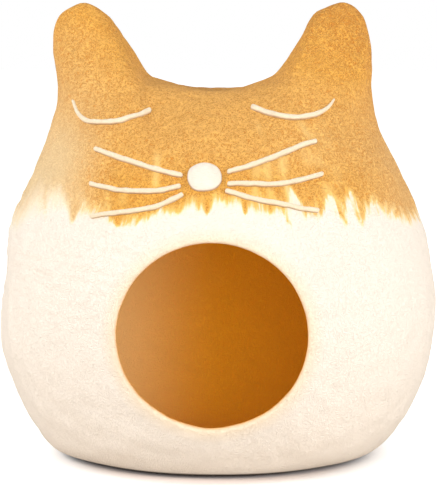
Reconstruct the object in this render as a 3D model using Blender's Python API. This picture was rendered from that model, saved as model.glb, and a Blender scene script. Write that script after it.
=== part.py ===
"""A wet-felted cat cave in the shape of a cat's head, with a sleeping face laid on in strands of wool.

The cave is one seamless felt shell: a round belly that sits flat on the floor, a round mouth in the
front, and a top that is drawn up into two ears. A domed felt nose, two closed eyes and six whiskers
are laid on the front. Metres, +Z up. The front faces -Y, and the origin is on the floor, under the
middle of the cave.
"""

from collections import namedtuple

import bmesh
import bpy
import numpy as np
from mathutils import Vector
from mathutils.bvhtree import BVHTree

# The shell
WALL = 0.007  # thickness of the felt
MIDDLE_HEIGHT = 0.160  # height of the hollow's middle, where the rays to the outline start
BELLY_DEPTH = 0.207  # from the middle plane to the front or the back, at the belly
EAR_DEPTH = 0.050  # the same at the ear tips
BELLY_FULLNESS = 2.2  # 2 rounds the shell off to its outline as an ellipse, more makes it squarer
EAR_FULLNESS = 6.0
NARROWING = (0.250, 0.475)  # heights between which the shell changes from belly to ears
EAR_ONSET = 5.0  # the higher this is, the nearer to the outline the ears stand out of the round body
OVAL_WAVES = 3  # waves round the oval that the rings near the middle follow
BASE_ROUNDING = 0.010  # the wall starts to turn into the flat base this high above the floor

# The front outline, seen from straight ahead, as places that it passes through: from under the middle
# of the base up the left side, over both ears and down the right side. The places under the floor
# shape the base, which is pressed flat.
Place = namedtuple("Place", "x height")
OUTLINE = (
    Place(0.0000, -0.0430),
    Place(-0.0690, -0.0370),
    Place(-0.1270, -0.0210),
    Place(-0.1700, 0.0000),
    Place(-0.2028, 0.0408),
    Place(-0.2209, 0.0839),
    Place(-0.2303, 0.1179),
    Place(-0.2288, 0.1604),
    Place(-0.2224, 0.2111),
    Place(-0.2184, 0.2451),
    Place(-0.1962, 0.2953),
    Place(-0.1764, 0.3445),
    Place(-0.1696, 0.3810),
    Place(-0.1748, 0.4231),
    Place(-0.1726, 0.4484),
    Place(-0.1643, 0.4619),
    Place(-0.1445, 0.4718),
    Place(-0.1221, 0.4624),
    Place(-0.1091, 0.4479),
    Place(-0.0928, 0.4219),
    Place(-0.0765, 0.3970),
    Place(-0.0456, 0.3862),
    Place(-0.0203, 0.3811),
    Place(0.0000, 0.3806),
    Place(0.0161, 0.3825),
    Place(0.0342, 0.3880),
    Place(0.0562, 0.3981),
    Place(0.0746, 0.4226),
    Place(0.0895, 0.4481),
    Place(0.0992, 0.4629),
    Place(0.1250, 0.4736),
    Place(0.1448, 0.4627),
    Place(0.1505, 0.4484),
    Place(0.1560, 0.4229),
    Place(0.1555, 0.3808),
    Place(0.1631, 0.3445),
    Place(0.1874, 0.2952),
    Place(0.2083, 0.2444),
    Place(0.2179, 0.2110),
    Place(0.2236, 0.1600),
    Place(0.2213, 0.1180),
    Place(0.2131, 0.0842),
    Place(0.1918, 0.0414),
    Place(0.1570, 0.0000),
    Place(0.1155, -0.0210),
    Place(0.0625, -0.0370),
)

# The mouth, seen from straight ahead
MOUTH_X = 0.001
MOUTH_HEIGHT = 0.150
MOUTH_WIDTH = 0.192
MOUTH_RISE = 0.187  # its top above its bottom
LIP_ROUNDING = 0.003
LIP_ANGLE = np.radians(60)  # only the mouth's two edges are sharper than this

# The face. Its pieces lie on the shell with a gap, and each line passes through these places.
GAP = 0.0003
NOSE_X = -0.0074
NOSE_HEIGHT = 0.3028
NOSE_WIDTH = 0.0338
NOSE_RISE = 0.0266  # its top above its bottom, on the slope where it is as tall as it is wide
NOSE_THICK = 0.0065
NOSE_EDGE = 0.15  # thickness at its edge, as a share of the thickness in the middle
STRAND_WIDTH = 0.0052
STRAND_THICK = 0.0036
STRAND_TAPER = 0.12  # share of a strand's length over which each end narrows
EYE_TIPS = (0.25, 0.45)  # width left at the outer and the inner end, as a share of the full width
WHISKER_TIPS = (0.75, 0.75)
EYES = {
    "eye_left": (
        Place(-0.1467, 0.3742),
        Place(-0.1446, 0.3678),
        Place(-0.1379, 0.3589),
        Place(-0.1312, 0.3546),
        Place(-0.1215, 0.3527),
        Place(-0.1059, 0.3532),
        Place(-0.0910, 0.3562),
        Place(-0.0764, 0.3616),
        Place(-0.0650, 0.3664),
    ),
    "eye_right": (
        Place(0.1180, 0.3760),
        Place(0.1134, 0.3692),
        Place(0.1088, 0.3655),
        Place(0.1016, 0.3614),
        Place(0.0898, 0.3587),
        Place(0.0779, 0.3578),
        Place(0.0630, 0.3594),
        Place(0.0479, 0.3631),
        Place(0.0343, 0.3680),
    ),
}
WHISKERS = {
    "whisker_left_top": (
        Place(-0.0286, 0.3046),
        Place(-0.0423, 0.3067),
        Place(-0.0542, 0.3092),
        Place(-0.0785, 0.3160),
        Place(-0.1033, 0.3230),
        Place(-0.1185, 0.3275),
    ),
    "whisker_left_middle": (
        Place(-0.0299, 0.2953),
        Place(-0.0473, 0.2910),
        Place(-0.0590, 0.2896),
        Place(-0.0708, 0.2893),
        Place(-0.0889, 0.2899),
        Place(-0.1074, 0.2927),
        Place(-0.1222, 0.2951),
    ),
    "whisker_left_low": (
        Place(-0.0272, 0.2876),
        Place(-0.0457, 0.2786),
        Place(-0.0573, 0.2746),
        Place(-0.0809, 0.2705),
        Place(-0.1050, 0.2672),
        Place(-0.1195, 0.2640),
    ),
    "whisker_right_top": (
        Place(0.0140, 0.3080),
        Place(0.0276, 0.3116),
        Place(0.0391, 0.3147),
        Place(0.0621, 0.3229),
        Place(0.0853, 0.3320),
        Place(0.1008, 0.3357),
    ),
    "whisker_right_middle": (
        Place(0.0145, 0.2972),
        Place(0.0396, 0.2970),
        Place(0.0570, 0.2966),
        Place(0.0743, 0.2985),
        Place(0.1079, 0.3056),
    ),
    "whisker_right_low": (
        Place(0.0128, 0.2908),
        Place(0.0265, 0.2869),
        Place(0.0497, 0.2812),
        Place(0.0727, 0.2772),
        Place(0.0842, 0.2743),
        Place(0.1041, 0.2711),
    ),
}

# Fineness of the solids
SPOKES = 84
RINGS = 27
OUTLINE_STEPS = 24  # for each stretch between two rows of the outline
OVAL_STEPS = 720
STRAND_STEPS = 30
STRAND_SIDES = 6
NOSE_SPOKES = 24
NOSE_RINGS = 4  # of the dome
NOSE_BACK = (0.5, 0.95)  # rings of the flat back, as shares of its width
SLOPE_STEP = 0.0005  # over which a slope is measured

OCHRE = (0.72, 0.39, 0.11)
CREAM = (0.90, 0.83, 0.70)
FELT_ROUGHNESS = 0.95


def clear_scene():
    for thing in list(bpy.data.objects):
        bpy.data.objects.remove(thing, do_unlink=True)


def felt(name, colour):
    """A plain matt material for wool felt."""
    material = bpy.data.materials.new(name)
    material.use_nodes = True
    shader = material.node_tree.nodes["Principled BSDF"]
    shader.inputs["Base Color"].default_value = (*colour, 1.0)
    shader.inputs["Roughness"].default_value = FELT_ROUGHNESS
    shader.inputs["Metallic"].default_value = 0.0
    return material


def make_object(name, points, faces, material):
    """A smooth-shaded object from points and faces, with its faces turned outwards."""
    mesh = bpy.data.meshes.new(name)
    mesh.from_pydata(np.asarray(points).tolist(), [], faces)
    edit = bmesh.new()
    edit.from_mesh(mesh)
    bmesh.ops.recalc_face_normals(edit, faces=edit.faces)
    edit.to_mesh(mesh)
    edit.free()
    mesh.shade_smooth()
    mesh.materials.append(material)
    thing = bpy.data.objects.new(name, mesh)
    bpy.context.scene.collection.objects.link(thing)
    return thing


def curve_through(points, steps, closed=False):
    """A Catmull-Rom curve through points, with this many steps between each two."""
    points = np.asarray(points, float)
    if closed:
        padded = np.concatenate([points[-1:], points, points[:2]])
    else:
        before = 2 * points[0] - points[1]
        after = 2 * points[-1] - points[-2]
        padded = np.concatenate([[before], points, [after]])
    a, b, c, d = padded[:-3], padded[1:-2], padded[2:-1], padded[3:]
    t = (np.arange(steps) / steps)[:, None, None]
    curve = 0.5 * (2 * b + (c - a) * t + (2 * a - 5 * b + 4 * c - d) * t**2 + (3 * b - a - 3 * c + d) * t**3)
    curve = curve.transpose(1, 0, 2).reshape(-1, points.shape[1])
    return curve if closed else np.concatenate([curve, points[-1:]])


def evenly_spaced(curve, count, closed=False):
    """Count points at equal distances along a curve."""
    if closed:
        curve = np.concatenate([curve, curve[:1]])
    along = np.concatenate([[0], np.cumsum(np.linalg.norm(np.diff(curve, axis=0), axis=1))])
    wanted = np.linspace(0, along[-1], count + closed)[: count]
    return np.stack([np.interp(wanted, along, curve[:, k]) for k in range(curve.shape[1])], axis=1)


def outline():
    """The front outline, as a fine closed loop of (x, height), up its left side first."""
    return curve_through(OUTLINE, OUTLINE_STEPS, closed=True)


def cross_depth(height, share):
    """How far the shell is from its middle plane, at a height and a share of the way to the outline."""
    low, high = NARROWING
    risen = np.clip((height - low) / (high - low), 0, 1)
    risen = risen**2 * (3 - 2 * risen)
    depth = BELLY_DEPTH + (EAR_DEPTH - BELLY_DEPTH) * risen
    fullness = BELLY_FULLNESS + (EAR_FULLNESS - BELLY_FULLNESS) * risen
    return depth * np.sqrt(1 - share**fullness)


def pressed_flat(height):
    """Heights with all that is under the floor raised to it, and a soft turn just above."""
    soft = (height + BASE_ROUNDING) ** 2 / (4 * BASE_ROUNDING)
    return np.where(height > BASE_ROUNDING, height, np.where(height < -BASE_ROUNDING, 0.0, soft))


def outline_reach(angles):
    """How far the outline is from the hollow's middle at these angles, and how far a soft oval is.

    The oval is the outline with only the slow changes of its reach kept, so it has no ears.
    """
    loop = outline() - (0.0, MIDDLE_HEIGHT)
    turned = np.arctan2(loop[:, 0], loop[:, 1])
    order = np.argsort(turned)
    around = np.arange(OVAL_STEPS) * 2 * np.pi / OVAL_STEPS
    full = np.interp(around, turned[order], np.hypot(*loop.T)[order], period=2 * np.pi)
    slow = np.fft.rfft(full)
    slow[OVAL_WAVES + 1 :] = 0
    soft = np.fft.irfft(slow, OVAL_STEPS)
    return (np.interp(angles, around, reach, period=2 * np.pi) for reach in (full, soft))


def distance_out(share, full, soft):
    """How far from the middle a ring lies: near the middle it is the oval, at the edge the outline."""
    return share * (soft + (full - soft) * share**EAR_ONSET)


def share_out(distance, full, soft):
    """The share of the way to the outline at a distance from the middle, found by halving steps."""
    share = np.full_like(distance, 0.5)
    for halving in range(2, 30):
        share += np.where(distance_out(share, full, soft) < distance, 1, -1) / 2.0**halving
    return share


def front_depth(x, height):
    """The y of the shell's front at (x, height), before the shell is centred."""
    across, up = x, height - MIDDLE_HEIGHT
    share = share_out(np.hypot(across, up), *outline_reach(np.arctan2(across, up)))
    return -cross_depth(height, share)


def straight_out(x, height):
    """The directions that point straight out of the shell's front at (x, height)."""
    step = SLOPE_STEP
    slope_x = (front_depth(x + step, height) - front_depth(x - step, height)) / (2 * step)
    slope_z = (front_depth(x, height + step) - front_depth(x, height - step)) / (2 * step)
    out = np.stack([slope_x, -np.ones_like(slope_x), slope_z], axis=-1)
    return out / np.linalg.norm(out, axis=-1, keepdims=True)


def shell_skin():
    """The shell's outer face as rings of points, from the mouth over the outline to the back's pole.

    Each spoke runs from the hollow's middle to a point of the outline, and its rings are at equal
    steps of a turn, from the mouth's edge at the front to half a turn at the back.
    """
    ends = evenly_spaced(outline(), SPOKES, closed=True) - (0.0, MIDDLE_HEIGHT)
    angles = np.arctan2(ends[:, 0], ends[:, 1])
    full, soft = outline_reach(angles)
    direction = np.stack([np.sin(angles), np.cos(angles)], axis=1)
    first = np.arcsin(share_out(mouth_reach(direction), full, soft))
    turn = first + (np.pi - first) * (np.arange(RINGS)[:, None] / RINGS)
    out = distance_out(np.sin(turn), full, soft)
    height = MIDDLE_HEIGHT + out * direction[:, 1]
    y = np.where(turn < np.pi / 2, -1, 1) * cross_depth(height, np.sin(turn))
    rings = np.stack([out * direction[:, 0], y, pressed_flat(height)], axis=-1)
    pole = (0.0, BELLY_DEPTH, MIDDLE_HEIGHT)
    return np.concatenate([rings.reshape(-1, 3), [pole]])


def mouth_reach(direction):
    """How far the mouth's edge, an ellipse, is from the hollow's middle in each direction."""
    size = np.array([MOUTH_WIDTH, MOUTH_RISE]) / 2
    start = np.array([-MOUTH_X, MIDDLE_HEIGHT - MOUTH_HEIGHT]) / size
    slope = direction / size
    a, b, c = (slope**2).sum(1), (slope * start).sum(1), (start**2).sum() - 1
    return (np.sqrt(b**2 - a * c) - b) / a


def ring_faces(rings, count, first=0):
    """Faces between rings of count points each, the first of which starts at point number first."""
    faces = []
    for ring in range(rings - 1):
        low, high = first + ring * count, first + (ring + 1) * count
        for spoke in range(count):
            after = (spoke + 1) % count
            faces.append((low + spoke, low + after, high + after, high + spoke))
    return faces


def pole_faces(pole, count, first):
    """Faces between a point and the ring of count points that starts at point number first."""
    return [(first + spoke, first + (spoke + 1) % count, pole) for spoke in range(count)]


def middle_shift(skin):
    """What moves the shell's middle over the origin, along x and y."""
    low, high = skin.min(0), skin.max(0)
    return np.array([*(-(low + high) / 2)[:2], 0.0])


def make_cave(skin, shift, material):
    """The shell: its outer face, given the felt's thickness inwards and a rounded lip."""
    faces = ring_faces(RINGS, SPOKES) + pole_faces(RINGS * SPOKES, SPOKES, (RINGS - 1) * SPOKES)
    cave = make_object("cave", skin + shift, faces, material)
    wall = cave.modifiers.new("wall", "SOLIDIFY")
    wall.thickness = WALL
    wall.offset = -1.0
    wall.use_even_offset = True
    wall.use_quality_normals = True
    lip = cave.modifiers.new("lip", "BEVEL")
    lip.width = LIP_ROUNDING
    lip.segments = 2
    lip.limit_method = "ANGLE"
    lip.angle_limit = LIP_ANGLE
    cave.modifiers.new("facets", "TRIANGULATE")
    return cave


class Front:
    """The front of the finished shell, onto which the pieces of the face are laid."""

    def __init__(self, cave, shift):
        self.tree = BVHTree.FromObject(cave, bpy.context.evaluated_depsgraph_get())
        self.shift = shift

    def lay(self, points, rise):
        """Points moved along Y onto the shell, and then off it by the gap and their own rise."""
        points, rise = points.reshape(-1, 3), rise.reshape(-1, 1)
        ahead, back = Vector((0, -1, 0)), Vector((0, 1, 0))
        on = [self.tree.ray_cast(Vector(p) + ahead, back)[0] for p in points]
        x, height = (points - self.shift)[:, [0, 2]].T
        return np.array(on) + straight_out(x, height) * (GAP + rise)

    def at(self, places):
        """The points of the front at these places, and the directions straight out there."""
        x, height = np.asarray(places).T
        return np.stack([x, front_depth(x, height), height], axis=1) + self.shift, straight_out(x, height)


def make_strand(name, places, tips, front, material):
    """A strand of wool: a half-round section, with a point in the middle of its back, along a line.

    tips holds the share of the full width that is left at the line's first and last end.
    """
    line = evenly_spaced(curve_through(places, OUTLINE_STEPS), STRAND_STEPS + 1)
    points, out = front.at(line)
    across = np.cross(out, np.gradient(points, axis=0))
    across /= np.linalg.norm(across, axis=1, keepdims=True)
    share = np.arange(STRAND_STEPS + 1) / STRAND_STEPS
    from_ends = np.stack([tips[0] + share / STRAND_TAPER, tips[1] + (1 - share) / STRAND_TAPER])
    full = np.minimum(from_ends.min(0), 1)
    turn = np.linspace(0, np.pi, STRAND_SIDES)
    side = full[:, None] * np.append(np.cos(turn), 0) * STRAND_WIDTH / 2
    rise = full[:, None] * np.append(np.sin(turn), 0) * STRAND_THICK
    section = points[:, None] + across[:, None] * side[..., None]
    count = STRAND_SIDES + 1
    faces = ring_faces(STRAND_STEPS + 1, count)
    faces += [tuple(STRAND_STEPS * count * end + k for k in range(count)) for end in (0, 1)]
    return make_object(name, front.lay(section, rise), faces, material)


def make_nose(front, material):
    """The nose: a domed disc whose back follows the front of the shell."""
    turn = np.arange(NOSE_SPOKES) * 2 * np.pi / NOSE_SPOKES
    lift = np.sin(np.arange(NOSE_RINGS) * np.pi / 2 / NOSE_RINGS)
    reach = np.concatenate([NOSE_BACK, np.sqrt(1 - lift**2)])
    thick = np.concatenate([np.zeros(len(NOSE_BACK)), NOSE_THICK * (NOSE_EDGE + (1 - NOSE_EDGE) * lift)])
    round_edge = np.stack([NOSE_WIDTH * np.cos(turn), NOSE_RISE * np.sin(turn)], axis=1) / 2
    places = np.concatenate([(reach[:, None, None] * round_edge).reshape(-1, 2), np.zeros((2, 2))])
    places += (NOSE_X, NOSE_HEIGHT)
    rise = np.concatenate([np.repeat(thick, NOSE_SPOKES), [0.0, NOSE_THICK]])
    rings = len(reach)
    faces = ring_faces(rings, NOSE_SPOKES)
    faces += pole_faces(rings * NOSE_SPOKES, NOSE_SPOKES, 0)
    faces += pole_faces(rings * NOSE_SPOKES + 1, NOSE_SPOKES, (rings - 1) * NOSE_SPOKES)
    return make_object("nose", front.lay(front.at(places)[0], rise), faces, material)


def main():
    clear_scene()
    shell_felt = felt("ochre_felt", OCHRE)
    trim_felt = felt("cream_felt", CREAM)
    skin = shell_skin()
    shift = middle_shift(skin)
    front = Front(make_cave(skin, shift, shell_felt), shift)
    make_nose(front, trim_felt)
    for name, places in EYES.items():
        make_strand(name, places, EYE_TIPS, front, trim_felt)
    for name, places in WHISKERS.items():
        make_strand(name, places, WHISKER_TIPS, front, trim_felt)


main()
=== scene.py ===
"""The looks of a wet-felted cat cave: ochre wool above, cream wool below, and a sleeping face.

The shell is one thick felt skin with an outer face, a rounded lip round the mouth and an inner face.
The nose, the closed eyes and the whiskers are strands and a pad of cream wool, felted onto its front.
Metres, +Z up, in the same frame as the solids. The front faces -Y.
"""

import bpy
import numpy as np
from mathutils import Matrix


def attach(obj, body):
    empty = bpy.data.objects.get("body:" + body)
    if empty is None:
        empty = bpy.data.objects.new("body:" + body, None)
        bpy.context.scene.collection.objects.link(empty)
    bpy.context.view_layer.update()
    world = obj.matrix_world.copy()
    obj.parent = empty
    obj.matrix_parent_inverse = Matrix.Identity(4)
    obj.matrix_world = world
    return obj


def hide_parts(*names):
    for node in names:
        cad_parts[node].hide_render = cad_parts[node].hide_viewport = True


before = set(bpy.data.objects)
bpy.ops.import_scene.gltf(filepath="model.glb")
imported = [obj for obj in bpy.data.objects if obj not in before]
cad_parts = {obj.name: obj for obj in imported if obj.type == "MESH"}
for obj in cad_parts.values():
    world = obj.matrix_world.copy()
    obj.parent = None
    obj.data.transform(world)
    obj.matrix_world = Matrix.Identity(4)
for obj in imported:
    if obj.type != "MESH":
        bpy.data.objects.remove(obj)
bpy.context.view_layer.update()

bl_info = {
    "name": "Felt cat cave",
    "version": (1, 0, 0),
    "blender": (4, 5, 0),
    "location": "3D View > Sidebar > Felt Cave",
    "description": "Makes the felt shell, the wool face and the studio of a cat cave",
    "category": "Add Mesh",
}

# The shell's form, as its solid has it but for the finer rounding of the base and the mouth's edge
MIDDLE_HEIGHT = 0.160  # height of the hollow's middle, where the rays to the outline start
BELLY_DEPTH = 0.207  # from the middle plane to the front or the back, at the belly
EAR_DEPTH = 0.050  # the same at the ear tips
BELLY_FULLNESS = 2.2  # 2 rounds the shell off to its outline as an ellipse, more makes it squarer
EAR_FULLNESS = 6.0
NARROWING = (0.250, 0.475)  # heights between which the shell changes from belly to ears
EAR_ONSET = 5.0  # the higher this is, the nearer to the outline the ears stand out
OVAL_WAVES = 3
BASE_ROUNDING = 0.010
BASE_LIFT = 0.010  # added to that rounding at the left and right ends of the base
OUTLINE = (  # (x, height), up the left side first
    (0.0000, -0.0430), (-0.0690, -0.0370), (-0.1270, -0.0210), (-0.1700, 0.0000), (-0.2028, 0.0408),
    (-0.2209, 0.0839), (-0.2303, 0.1179), (-0.2288, 0.1604), (-0.2224, 0.2111), (-0.2184, 0.2451),
    (-0.1962, 0.2953), (-0.1764, 0.3445), (-0.1696, 0.3810), (-0.1748, 0.4231), (-0.1726, 0.4484),
    (-0.1643, 0.4619), (-0.1445, 0.4718), (-0.1221, 0.4624), (-0.1091, 0.4479), (-0.0928, 0.4219),
    (-0.0765, 0.3970), (-0.0456, 0.3862), (-0.0203, 0.3811), (0.0000, 0.3806), (0.0161, 0.3825),
    (0.0342, 0.3880), (0.0562, 0.3981), (0.0746, 0.4226), (0.0895, 0.4481), (0.0992, 0.4629),
    (0.1250, 0.4736), (0.1448, 0.4627), (0.1505, 0.4484), (0.1560, 0.4229), (0.1555, 0.3808),
    (0.1631, 0.3445), (0.1874, 0.2952), (0.2083, 0.2444), (0.2179, 0.2110), (0.2236, 0.1600),
    (0.2213, 0.1180), (0.2131, 0.0842), (0.1918, 0.0414), (0.1570, 0.0000), (0.1155, -0.0210),
    (0.0625, -0.0370),
)
MOUTH_X = 0.001
MOUTH_HEIGHT = 0.150
MOUTH_WIDTH = 0.1945
MOUTH_RISE = 0.1915

# The nose and the lines of the face, these by (x, height), as their solids have them
NOSE_X = -0.0074
NOSE_HEIGHT = 0.3028
NOSE_WIDTH = 0.0338
NOSE_RISE = 0.0266
NOSE_SQUARENESS = 2.3  # 2 is an ellipse
EYE_TIPS = (0.50, 0.92)  # width at its first and its last end, as a share of the full width
WHISKER_TIPS = (0.95, 0.95)
EYES = {
    "eye_left": (
        (-0.1467, 0.3742), (-0.1446, 0.3678), (-0.1379, 0.3589), (-0.1312, 0.3546), (-0.1215, 0.3527),
        (-0.1059, 0.3532), (-0.0910, 0.3562), (-0.0764, 0.3616), (-0.0650, 0.3664),
    ),
    "eye_right": (
        (0.1180, 0.3760), (0.1134, 0.3692), (0.1088, 0.3655), (0.1016, 0.3614), (0.0898, 0.3587),
        (0.0779, 0.3578), (0.0630, 0.3594), (0.0479, 0.3631), (0.0343, 0.3680),
    ),
}
WHISKERS = {
    "whisker_left_top": (
        (-0.0286, 0.3046), (-0.0423, 0.3067), (-0.0542, 0.3092), (-0.0785, 0.3160), (-0.1033, 0.3230),
        (-0.1185, 0.3275),
    ),
    "whisker_left_middle": (
        (-0.0299, 0.2953), (-0.0473, 0.2910), (-0.0590, 0.2896), (-0.0708, 0.2893), (-0.0889, 0.2899),
        (-0.1074, 0.2927), (-0.1222, 0.2951),
    ),
    "whisker_left_low": (
        (-0.0272, 0.2876), (-0.0457, 0.2786), (-0.0573, 0.2746), (-0.0809, 0.2705), (-0.1050, 0.2672),
        (-0.1195, 0.2640),
    ),
    "whisker_right_top": (
        (0.0140, 0.3080), (0.0276, 0.3116), (0.0391, 0.3147), (0.0621, 0.3229), (0.0853, 0.3320),
        (0.1008, 0.3357),
    ),
    "whisker_right_middle": (
        (0.0145, 0.2972), (0.0396, 0.2970), (0.0570, 0.2966), (0.0743, 0.2985), (0.1079, 0.3056),
    ),
    "whisker_right_low": (
        (0.0128, 0.2908), (0.0265, 0.2869), (0.0497, 0.2812), (0.0727, 0.2772), (0.0842, 0.2743),
        (0.1041, 0.2711),
    ),
}

# Where the ochre wool ends, on the front and on the back: the line as (x, height), the drips that run down
# from it, and the pale tongues that run up into it.
FRONT_LINE = (
    (-0.200, 0.262), (-0.193, 0.267), (-0.184, 0.277), (-0.176, 0.281), (-0.165, 0.282),
    (-0.153, 0.280), (-0.146, 0.278), (-0.138, 0.277), (-0.126, 0.272), (-0.108, 0.272),
    (-0.096, 0.268), (-0.081, 0.265), (-0.061, 0.269), (-0.046, 0.275), (-0.032, 0.277),
    (-0.018, 0.279), (-0.008, 0.280), (0.003, 0.282), (0.009, 0.285), (0.013, 0.286), (0.029, 0.283),
    (0.047, 0.279), (0.069, 0.277), (0.085, 0.277), (0.101, 0.275), (0.115, 0.276), (0.127, 0.275),
    (0.143, 0.273), (0.158, 0.273), (0.170, 0.270), (0.187, 0.262), (0.200, 0.256),
)
FRONT_DRIPS = (  # (x, height of its tip, width, strength, lean to the right for each metre away)
    (-0.167, 0.253, 0.0018, 0.55, 0.10), (-0.132, 0.255, 0.0062, 0.95, -0.18),
    (-0.0885, 0.2535, 0.0070, 0.68, 0.00), (-0.064, 0.255, 0.0045, 0.50, -0.50),
    (-0.0005, 0.267, 0.0045, 0.85, 0.00), (0.0365, 0.267, 0.0050, 0.45, 0.00),
    (0.059, 0.2655, 0.0050, 0.55, 0.00), (0.0715, 0.253, 0.0048, 0.72, 0.40),
    (0.094, 0.259, 0.0040, 0.35, 0.00), (0.109, 0.257, 0.0060, 0.72, -0.10),
    (0.1265, 0.250, 0.0055, 0.52, 0.37), (0.149, 0.251, 0.0062, 0.62, 0.00),
    (0.184, 0.255, 0.0035, 0.45, 0.10),
)
FRONT_TONGUES = (
    (-0.150, 0.297, 0.0080, 0.50, 0.00), (0.051, 0.293, 0.0050, 0.40, 0.00),
    (0.0855, 0.298, 0.0055, 0.72, -0.40), (0.118, 0.291, 0.0055, 0.45, 0.00),
    (0.138, 0.295, 0.0070, 0.62, -0.10), (0.160, 0.291, 0.0060, 0.70, -0.10),
)
BACK_LINE = (
    (-0.200, 0.262), (-0.150, 0.277), (-0.105, 0.266), (-0.060, 0.276), (-0.010, 0.283),
    (0.040, 0.271), (0.085, 0.280), (0.140, 0.270), (0.200, 0.258),
)
BACK_DRIPS = (
    (-0.158, 0.247, 0.0050, 0.90, 0.10), (-0.118, 0.252, 0.0065, 0.75, -0.10),
    (-0.079, 0.244, 0.0050, 0.95, 0.05), (-0.038, 0.262, 0.0045, 0.60, 0.00),
    (0.002, 0.256, 0.0060, 0.85, -0.15), (0.047, 0.248, 0.0055, 0.95, 0.10),
    (0.071, 0.262, 0.0040, 0.60, 0.00), (0.112, 0.250, 0.0060, 0.85, 0.15),
    (0.155, 0.245, 0.0050, 0.90, -0.05),
)
BACK_TONGUES = (
    (-0.137, 0.296, 0.0055, 0.80, 0.00), (-0.057, 0.291, 0.0045, 0.70, 0.10),
    (0.022, 0.302, 0.0050, 0.85, -0.05), (0.096, 0.295, 0.0050, 0.75, 0.00),
    (0.136, 0.290, 0.0045, 0.60, 0.00),
)
# Thin places in the ochre where the cream shows through, as long soft strokes
FRONT_STROKES = (  # (x at its top, top, bottom, width, strength, lean to the right for each metre down)
    (-0.1256, 0.297, 0.266, 0.0060, 0.32, 0.06), (-0.1008, 0.300, 0.269, 0.0055, 0.30, 0.12),
    (-0.0826, 0.300, 0.269, 0.0060, 0.34, -0.01), (-0.0514, 0.331, 0.285, 0.0044, 0.54, 0.00),
    (0.0427, 0.363, 0.336, 0.0035, 0.34, 0.27), (0.0442, 0.324, 0.295, 0.0055, 0.46, 0.11),
    (0.0458, 0.303, 0.275, 0.0050, 0.52, -0.05), (0.0548, 0.327, 0.293, 0.0055, 0.48, 0.14),
    (0.0574, 0.302, 0.274, 0.0050, 0.46, 0.18), (0.0703, 0.331, 0.298, 0.0065, 0.48, 0.07),
    (0.0708, 0.307, 0.263, 0.0055, 0.60, 0.35), (0.0823, 0.362, 0.331, 0.0060, 0.36, 0.67),
    (0.0877, 0.338, 0.305, 0.0065, 0.30, 0.42), (0.1015, 0.326, 0.301, 0.0060, 0.25, 0.73),
    (0.1060, 0.363, 0.312, 0.0065, 0.13, 0.01), (0.1104, 0.302, 0.267, 0.0070, 0.46, 0.37),
    (0.1140, 0.352, 0.317, 0.0065, 0.14, 0.16), (0.1220, 0.320, 0.285, 0.0065, 0.22, 0.16),
)

STROKE_FADE = 0.012  # each end of a stroke fades over this length
DYE_EDGE = 0.0120  # the ochre fades out this far above and below its line
DYE_EDGE_LEFT = 0.013  # added to that at the far left
DRIP_FADE = 0.35  # share of its strength that a drip or tongue loses on the way to its tip
FAN_TOP = 0.567  # the combed hairs fan out from a point this high
RIM_REACH = 0.016  # the lip's tint fades out over this distance from the mouth
RIM_LINE = 0.004
CONTACT_SHADOW_HEIGHTS = (0.003, 0.006)  # the painted shadow on the base, where it meets the floor, fades out between these heights

# Fineness of the meshes
SPOKES = 400
OUTER_RINGS = 168
INNER_RINGS = 40
RING_CROWDING = 0.55  # 0 spaces the rings evenly, more crowds them towards the mouth
LIP_RINGS = 6
OUTLINE_STEPS = 24
LOOP_STEPS = 1440
LOOP_SOFTNESS = 3  # in steps of the outline's loop, about 1.2 mm each
STRAND_SOFTENING = 90  # times that a strand's line is averaged with its neighbours
STRAND_TAPER = 0.30  # share of a strand's length over which each end narrows
OVAL_STEPS = 720
STRAND_STEPS = 170
STRAND_SIDES = 16
NOSE_SPOKES = 56
NOSE_RINGS = 26
SLOPE_STEP = 0.0005
STRAND_SEEDS = 110  # the first strand's noise; each next strand's is ten later

# The photograph's view
VIEW_TURN = 3  # degrees to the right
VIEW_RISE = 6
VIEW_DISTANCE = 2.3
VIEW_TARGET = (0.0006, 0.0, 0.2215)
VIEW_HEIGHT = 485 * 0.00105  # what the picture's height, in pixels, covers at the target
SENSOR = 36.0

# The stage
FLOOR_SIZE = 30.0
FLOOR_STRETCH = (1.15, 1.0, 1.0)
FLOOR_SHADE = (0.90, 0.80, 0.76)  # painted shadow: its tinted colour close to the cave, as the camera sees it
FLOOR_SHADE_ENDS = (0.150, 0.195)  # distances from the middle between which that turns white
FLOOR_GLOW_ENDS = (0.156, 0.235)  # and between which the glow rises
LEFT_LAMP = (-62, 26, 2.4, 1.1)  # degrees round the cave and up from level, distance and size
RIGHT_LAMP = (58, 14, 2.4, 1.1)
FRONT_LAMP = (9, 8, 2.8, 0.9)

# Colours mixed in by small shares
# painted shade: the next two are the cream's and the inside's colours in the valleys between the locks
CREAM_VALLEY_SHADE = (0.72, 0.62, 0.48)
LINING_VALLEY_SHADE = (0.85, 0.27, 0.008)
# painted light: the inside's dim emitted glow on its right side
LINING_GLOW = (0.11, 0.10, 0.008)
STRAND_SHADE = (0.74, 0.58, 0.40)
STRAND_LIGHT = (0.96, 0.92, 0.82)
SHEEN_TINT = (1.0, 0.93, 0.82)
WHITE = (1.0, 1.0, 1.0)
BLACK = (0.0, 0.0, 0.0)


def length(name, description, default):
    """A length that a user can change."""
    return bpy.props.FloatProperty(name=name, description=description, default=default, unit="LENGTH")


def number(name, description, default):
    """A plain number that a user can change."""
    return bpy.props.FloatProperty(name=name, description=description, default=default)


def tint(name, description, default):
    """A colour that a user can change."""
    return bpy.props.FloatVectorProperty(
        name=name, description=description, default=default, subtype="COLOR"
    )


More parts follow.
